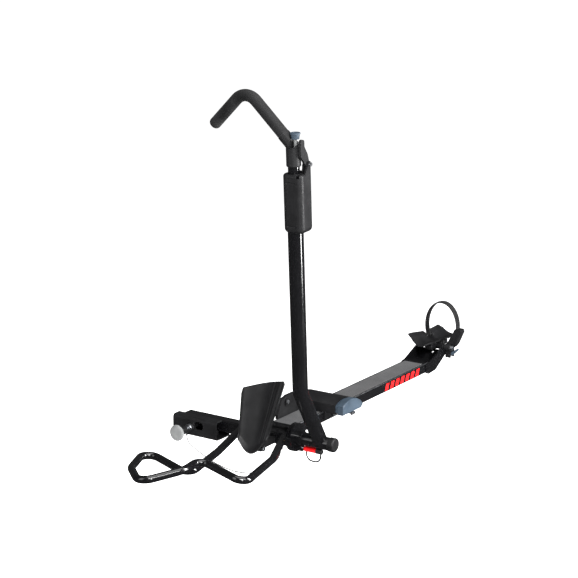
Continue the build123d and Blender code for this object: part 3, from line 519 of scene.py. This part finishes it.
def make_knob():
    """A knurled hand knob: scalloped rim between two rounded shoulders."""
    low, high = (Vector(c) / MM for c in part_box("hitch_knob"))
    y, z = (low.y + high.y) / 2, (low.z + high.z) / 2
    radius = (high.z - low.z) / 2
    profile = [(0.0, 0.30), (0.0, 0.86), (0.10, 0.95), (0.22, 1.0), (0.78, 1.0), (0.90, 0.95), (1.0, 0.86),
               (1.0, 0.30)]

    def place(s, t):
        step = t * (len(profile) - 1)
        index = min(int(step), len(profile) - 2)
        depth = mix(profile[index][0], profile[index + 1][0], step - index)
        size = mix(profile[index][1], profile[index + 1][1], step - index)
        rim = smoothstep(0.8, 1.0, size)
        r = radius * size - KNURL_DEPTH * rim * (0.5 + 0.5 * math.cos(2 * math.pi * KNURLS * s))
        return mix(low.x, high.x, depth), y + r * math.cos(2 * math.pi * s), z + r * math.sin(2 * math.pi * s)

    finish_piece(grid("knurled_knob", 288, 21, place, closed=True), "knurled_knob", "light_grey",
                 "hitch_screw", "hitch_knob")


make_knob()


# ---- tray print bars and painted highlight strip ---------------------------------------------
BAR_FIRST, BAR_LAST = 476.0, 668.0
BAR_LOW, BAR_HIGH = -0.5, 18.5
BAR_COUNT = 7
BAR_LEAN = 7.0
BAR_SHARE = 0.62
# Radius of the pale strip that paints the highlight on the tray's top edge.
HIGHLIGHT_BEAD_RADIUS = 1.5


def make_bars():
    """A row of plain slanted bars painted on the tray's near side."""
    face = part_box("tray_tube")[0][1] / MM
    pitch = (BAR_LAST - BAR_FIRST) / BAR_COUNT
    work = bmesh.new()
    for i in range(BAR_COUNT):
        x = BAR_FIRST + i * pitch
        end = x + pitch * BAR_SHARE
        corners = [(x, BAR_LOW), (end, BAR_LOW), (end + BAR_LEAN, BAR_HIGH), (x + BAR_LEAN, BAR_HIGH)]
        rings = [[work.verts.new(Vector((a, face + d, b)) * MM) for a, b in corners] for d in (-0.25, 0.3)]
        for k in range(4):
            n = (k + 1) % 4
            work.faces.new((rings[0][k], rings[0][n], rings[1][n], rings[1][k]))
        work.faces.new(rings[0])
        work.faces.new(list(reversed(rings[1])))
    bmesh.ops.recalc_face_normals(work, faces=work.faces[:])
    mesh = bpy.data.meshes.new("tray_bars")
    work.to_mesh(mesh)
    work.free()
    finish_piece(mesh, "tray_bars", "red_grip", "frame")


def make_highlight_bead():
    """A thin pale steel strip along the tray's near top edge: a painted highlight line where the rounded edge
    catches the light.
    """
    low, high = (Vector(c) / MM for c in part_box("tray_tube"))

    def place(s, t):
        angle = 2 * math.pi * s
        return (mix(low.x + 2, high.x - 2, t), low.y + 1.2 + HIGHLIGHT_BEAD_RADIUS * math.cos(angle),
                high.z - 0.3 + HIGHLIGHT_BEAD_RADIUS * math.sin(angle))

    # The strip is pale plated steel, a painted highlight line along the edge, not a rubbed coat.
    finish_piece(grid("tray_painted_highlight_bead", 12, 40, place, closed=True), "tray_painted_highlight_bead", "steel", "frame")


make_bars()
# Painted highlight strip along the tray's near top edge.
make_highlight_bead()


# ---- studio ------------------------------------------------------------------------------
FLOOR = -0.42
FLOOR_RADIUS = 5.0
WORLD_SEEN, WORLD_LIT = 1.05, 0.07


def make_floor():
    """A plain round pale floor under the rack."""
    mesh = bpy.data.meshes.new("floor")
    ring = [(0.1 + FLOOR_RADIUS * math.cos(a), FLOOR_RADIUS * math.sin(a), FLOOR)
            for a in (math.radians(d) for d in range(0, 360, 5))]
    mesh.from_pydata(ring, [], [tuple(range(len(ring)))])
    floor = bpy.data.objects.new("floor", mesh)
    bpy.context.scene.collection.objects.link(floor)
    graph = Graph("floor")
    graph.set(Base_Color=(0.95, 0.95, 0.95), Roughness=0.9, Specular_IOR_Level=0.05,
              Emission_Color=(1.0, 1.0, 1.0), Emission_Strength=0.85)
    mesh.materials.append(graph.material)
    floor.visible_glossy = False


def make_area(name, place, target, size, power):
    data = bpy.data.lights.new(name, "AREA")
    data.shape = "RECTANGLE"
    data.size, data.size_y = size
    data.energy = power
    light = bpy.data.objects.new(name, data)
    light.location = place
    light.rotation_euler = (Vector(target) - Vector(place)).to_track_quat("-Z", "Y").to_euler()
    bpy.context.scene.collection.objects.link(light)


def make_world():
    """White where it is seen directly, dim where it lights the rack."""
    world = bpy.data.worlds.new("studio")
    world.use_nodes = True
    bpy.context.scene.world = world
    tree = world.node_tree
    seen = tree.nodes.new("ShaderNodeLightPath").outputs["Is Camera Ray"]
    strength = tree.nodes.new("ShaderNodeMapRange")
    strength.inputs["To Min"].default_value = WORLD_LIT
    strength.inputs["To Max"].default_value = WORLD_SEEN
    tree.links.new(seen, strength.inputs["Value"])
    background = tree.nodes["Background"]
    background.inputs["Color"].default_value = (1, 1, 1, 1)
    tree.links.new(strength.outputs["Result"], background.inputs["Strength"])


make_floor()
make_world()
make_area("left_box", (-2.6, 1.0, 1.3), (0.0, 0.0, 0.3), (1.3, 2.2), 26)
make_area("top_box", (-0.2, -0.3, 3.0), (0.1, 0.0, 0.0), (2.4, 2.4), 78)
make_area("right_strip", (0.9, -2.4, 1.0), (0.1, 0.0, 0.4), (0.42, 2.6), 230)
make_area("long_strip", (-1.5, -2.0, 2.0), (0.0, 0.0, -0.1), (2.8, 0.34), 130)
make_area("front_strip", (-2.3, -2.3, 1.6), (0.0, 0.0, 0.3), (0.22, 2.2), 90)
bpy.context.scene.view_settings.view_transform = "Standard"
